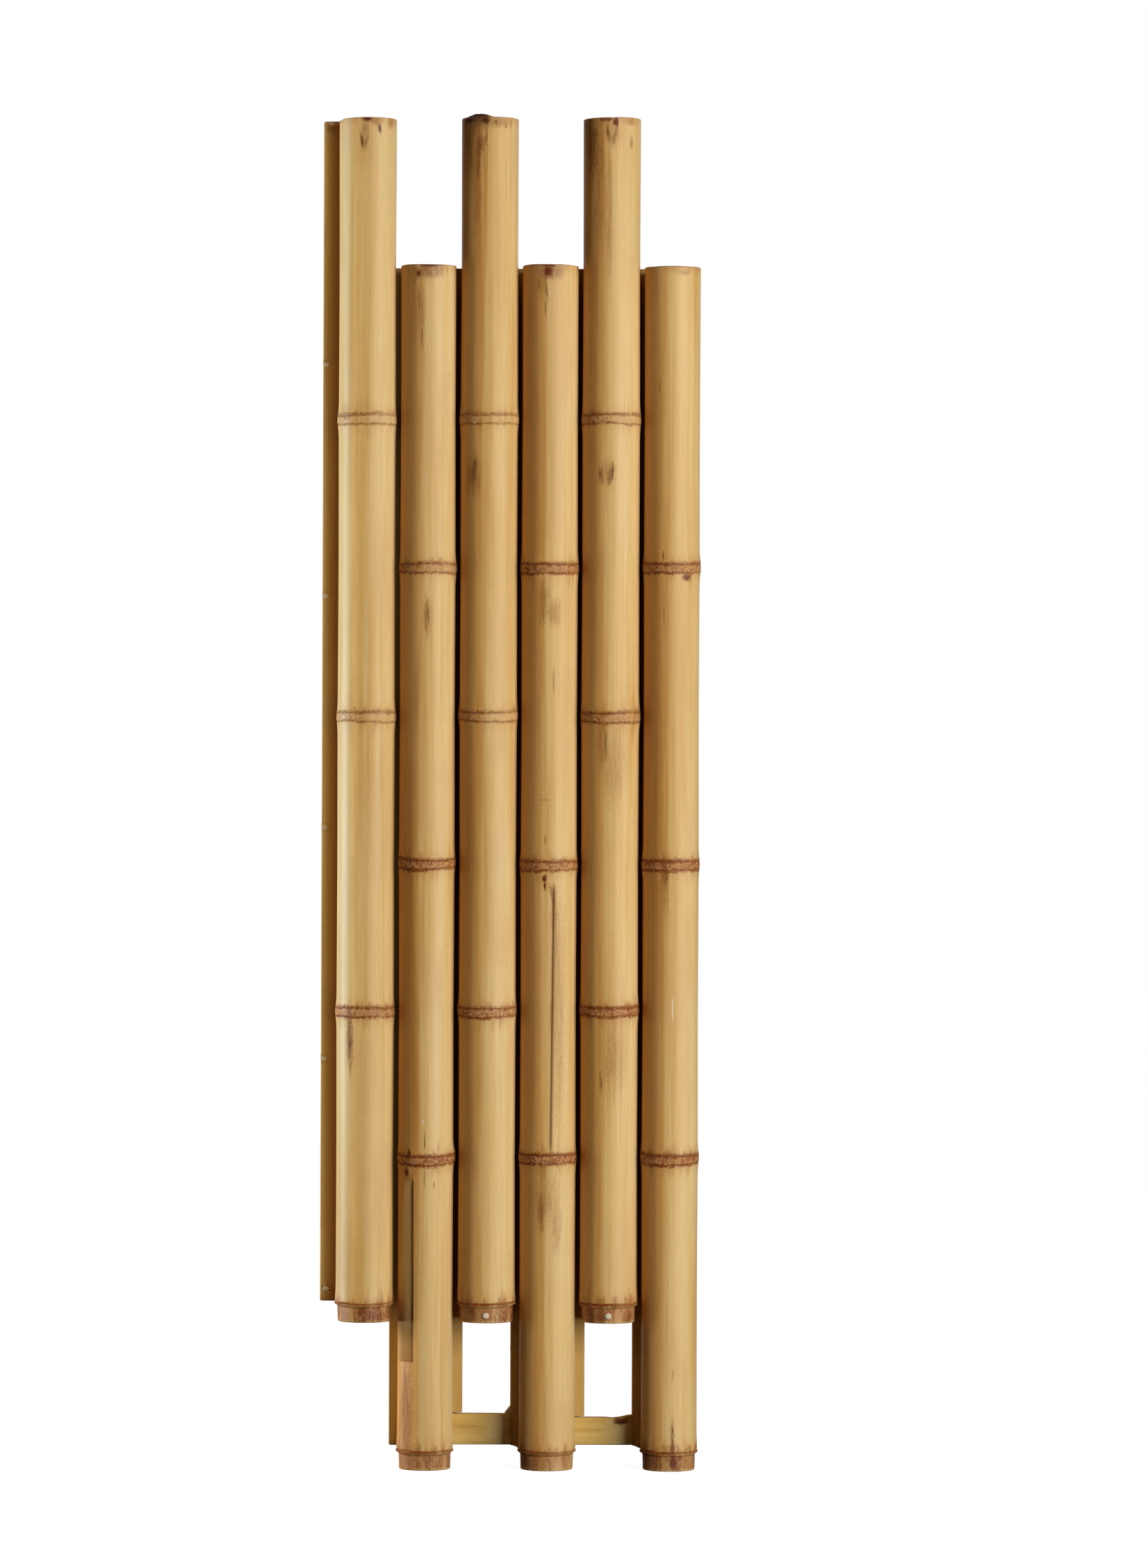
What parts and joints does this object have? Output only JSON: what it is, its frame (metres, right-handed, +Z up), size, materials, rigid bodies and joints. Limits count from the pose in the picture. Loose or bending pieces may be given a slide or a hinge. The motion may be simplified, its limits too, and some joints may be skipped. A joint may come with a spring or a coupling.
{
  "type": "pan flute",
  "caption": "Upright pan flute of staggered bamboo pipes, closed at the foot and open at the mouth, on a backing of bamboo slats with foot rails and corked bores.",
  "frame": {"origin": "centre of the footprint of the whole flute, on the surface that the three lower pipes stand on", "axes": "+Z up along the pipes towards their mouths, -Y out of the front, +X to the viewer's right along the row of pipes"},
  "size_m": [0.1474, 0.0318, 0.5225],
  "materials": {
    "pipe_bamboo": "satin natural bamboo skin with a thin clear varnish",
    "slat_bamboo": "satin split bamboo, amber varnish",
    "rail_bamboo": "satin split bamboo with the grain across",
    "batten_bamboo": "matt split bamboo",
    "peg_wood": "bare pale wood end grain",
    "cork": "matt natural cork"
  },
  "bodies": {
    "flute_body": {"pipe_1": "pipe_bamboo", "pipe_2": "pipe_bamboo", "pipe_3": "pipe_bamboo", "pipe_4": "pipe_bamboo", "pipe_5": "pipe_bamboo", "pipe_6": "pipe_bamboo", "back_slat_1": "slat_bamboo", "back_slat_2": "slat_bamboo", "back_slat_3": "slat_bamboo", "back_slat_4": "slat_bamboo", "back_slat_5": "slat_bamboo", "back_slat_6": "slat_bamboo", "foot_rail_left": "rail_bamboo", "foot_rail_right": "rail_bamboo", "lower_batten": "batten_bamboo", "upper_batten": "batten_bamboo", "upper_peg_1": "peg_wood", "upper_peg_2": "peg_wood", "upper_peg_3": "peg_wood", "upper_peg_4": "peg_wood", "upper_peg_5": "peg_wood", "upper_peg_6": "peg_wood", "lower_peg_1": "peg_wood", "lower_peg_2": "peg_wood", "lower_peg_3": "peg_wood", "lower_peg_4": "peg_wood", "lower_peg_5": "peg_wood", "lower_peg_6": "peg_wood", "stub_peg_3": "peg_wood", "stub_peg_5": "peg_wood"},
    "plug_1": {"tuning_plug_1": "cork"},
    "plug_2": {"tuning_plug_2": "cork"},
    "plug_3": {"tuning_plug_3": "cork"},
    "plug_4": {"tuning_plug_4": "cork"},
    "plug_5": {"tuning_plug_5": "cork"},
    "plug_6": {"tuning_plug_6": "cork"}
  },
  "joints": [
    {"name": "plug_1_slide", "type": "slide", "parent": "flute_body", "child": "plug_1", "axis": [0, 0, 1], "range_m": [-0.012, 0.012]},
    {"name": "plug_2_slide", "type": "slide", "parent": "flute_body", "child": "plug_2", "axis": [0, 0, 1], "range_m": [-0.012, 0.012]},
    {"name": "plug_3_slide", "type": "slide", "parent": "flute_body", "child": "plug_3", "axis": [0, 0, 1], "range_m": [-0.012, 0.012]},
    {"name": "plug_4_slide", "type": "slide", "parent": "flute_body", "child": "plug_4", "axis": [0, 0, 1], "range_m": [-0.012, 0.012]},
    {"name": "plug_5_slide", "type": "slide", "parent": "flute_body", "child": "plug_5", "axis": [0, 0, 1], "range_m": [-0.012, 0.012]},
    {"name": "plug_6_slide", "type": "slide", "parent": "flute_body", "child": "plug_6", "axis": [0, 0, 1], "range_m": [-0.012, 0.012]}
  ]
}
